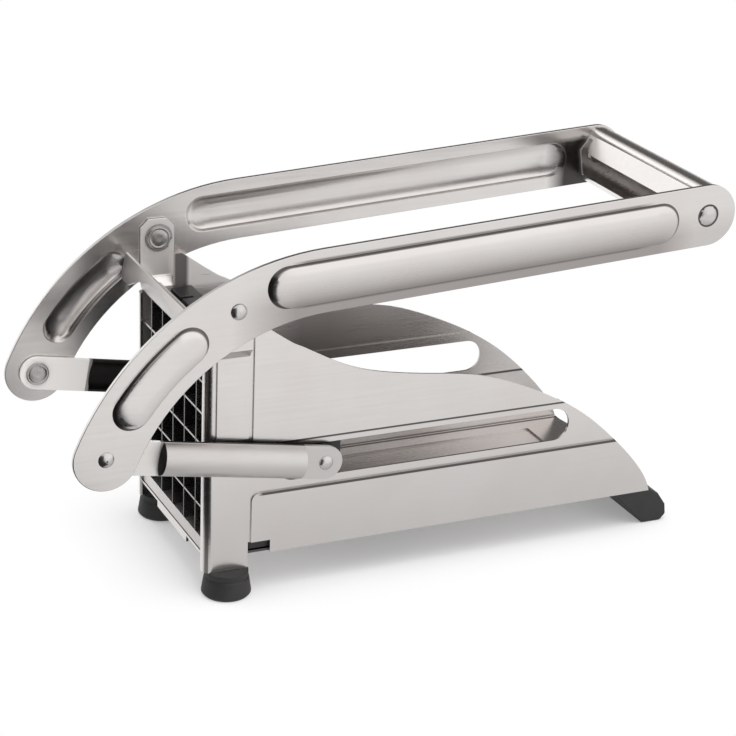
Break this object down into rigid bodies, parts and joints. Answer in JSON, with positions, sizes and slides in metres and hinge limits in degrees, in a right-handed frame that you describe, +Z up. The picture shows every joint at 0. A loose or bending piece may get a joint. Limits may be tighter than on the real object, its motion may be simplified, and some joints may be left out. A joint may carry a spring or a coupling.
{
  "type": "french fry cutter",
  "caption": "Lever-operated potato strip cutter: slotted sheet channel with upright blade grid, studded pusher driven by a two-armed handle through side links.",
  "frame": {"origin": "on the table, under the middle of the whole object's bounding box", "axes": "+Z up, -Y towards the blade grid, +Y towards the grip, +X to the right when looking along +Y"},
  "size_m": [0.0958, 0.2668, 0.1446],
  "materials": {
    "steel": "satin brushed",
    "rivet": "satin",
    "blade": "ground",
    "plastic": "matte",
    "rubber": "matte"
  },
  "bodies": {
    "frame": {"channel": "steel", "foot_left": "rubber", "foot_right": "rubber", "foot_rear": "rubber", "pivot_rivets": "rivet"},
    "handle": {"arm_left": "steel", "arm_right": "steel", "grip_bar": "steel", "grip_rivets": "rivet", "crank_rivets": "rivet"},
    "link_left": {"link_left": "steel", "link_rivet_left": "rivet"},
    "link_right": {"link_right": "steel", "link_rivet_right": "rivet"},
    "pusher": {"pusher_block": "plastic", "pusher_pin": "rivet"},
    "cassette": {"cassette_frame": "steel", "blade_v1": "blade", "blade_v2": "blade", "blade_v3": "blade", "blade_v4": "blade", "blade_v5": "blade", "blade_h1": "blade", "blade_h2": "blade", "blade_h3": "blade", "blade_h4": "blade", "blade_h5": "blade"}
  },
  "joints": [
    {"name": "handle_swing", "type": "hinge", "parent": "frame", "child": "handle", "pos_m": [0, -0.07185, 0.1153], "axis": [1, 0, 0], "range_deg": [-3, 88]},
    {"name": "pusher_slide", "type": "slide", "parent": "frame", "child": "pusher", "axis": [0, 1, 0], "range_m": [-0.0034, 0.098]},
    {"name": "link_left_turn", "type": "hinge", "parent": "handle", "child": "link_left", "pos_m": [-0.042, -0.12118, 0.06513], "axis": [1, 0, 0], "range_deg": [-87.6, 3.1]},
    {"name": "link_right_turn", "type": "hinge", "parent": "handle", "child": "link_right", "pos_m": [0.042, -0.12118, 0.06513], "axis": [1, 0, 0], "range_deg": [-87.6, 3.1]},
    {"name": "cassette_lift", "type": "slide", "parent": "frame", "child": "cassette", "axis": [0, 0, 1], "range_m": [0, 0.085]}
  ],
  "couplings": [
    {"joint": "pusher_slide", "follows": "handle_swing", "m_per_rad": 0.06374},
    {"joint": "link_left_turn", "follows": "handle_swing", "ratio": -0.99329},
    {"joint": "link_right_turn", "follows": "handle_swing", "ratio": -0.99329}
  ]
}
